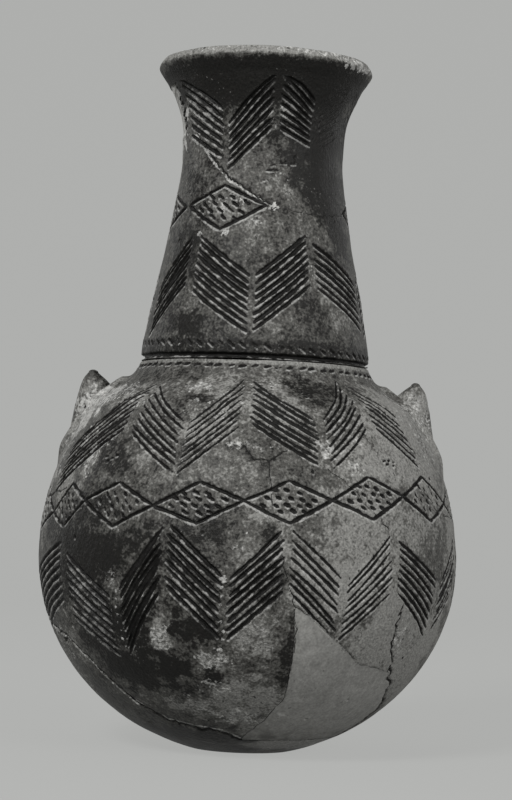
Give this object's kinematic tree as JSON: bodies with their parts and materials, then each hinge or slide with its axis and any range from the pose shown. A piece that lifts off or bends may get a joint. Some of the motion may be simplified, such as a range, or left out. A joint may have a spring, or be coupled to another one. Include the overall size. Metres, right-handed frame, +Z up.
{
  "type": "pottery flask",
  "caption": "Hand-built round-bodied pottery flask with a tall flaring neck, pointed ear lugs and incised bands, mended from sherds.",
  "frame": {"origin": "centre of the flat worn spot that the flask rests on", "axes": "+Z up the axis of body and neck, -Y to the front with the mends, +X to the viewer's right, through the right lug"},
  "size_m": [0.208, 0.2079, 0.342],
  "materials": {
    "dark_burnished_clay": "dark burnished fired clay, mottled, with white lime in the incised lines",
    "pale_worn_clay": "paler, worn and mottled fired clay, with white lime in the incised lines",
    "mend_plaster": "smooth toned plaster of the mends, matt, with faint tool streaks"
  },
  "bodies": {
    "root": {"base_pad": "dark_burnished_clay", "lower_left_sherd": "dark_burnished_clay", "lower_back_sherd": "dark_burnished_clay", "plaster_fill": "mend_plaster", "belly_left_sherd": "dark_burnished_clay", "belly_front_sherd": "pale_worn_clay", "belly_right_sherd": "pale_worn_clay", "belly_back_left_sherd": "dark_burnished_clay", "belly_back_right_sherd": "pale_worn_clay", "shoulder_left_sherd": "dark_burnished_clay", "shoulder_front_sherd": "pale_worn_clay", "shoulder_right_sherd": "pale_worn_clay", "neck_lower_sherd": "dark_burnished_clay", "neck_upper_sherd": "dark_burnished_clay", "neck_fill": "mend_plaster", "rim_coil": "pale_worn_clay", "left_lug": "dark_burnished_clay", "right_lug": "dark_burnished_clay", "left_lug_wad": "dark_burnished_clay", "right_lug_wad": "dark_burnished_clay"}
  },
  "joints": []
}
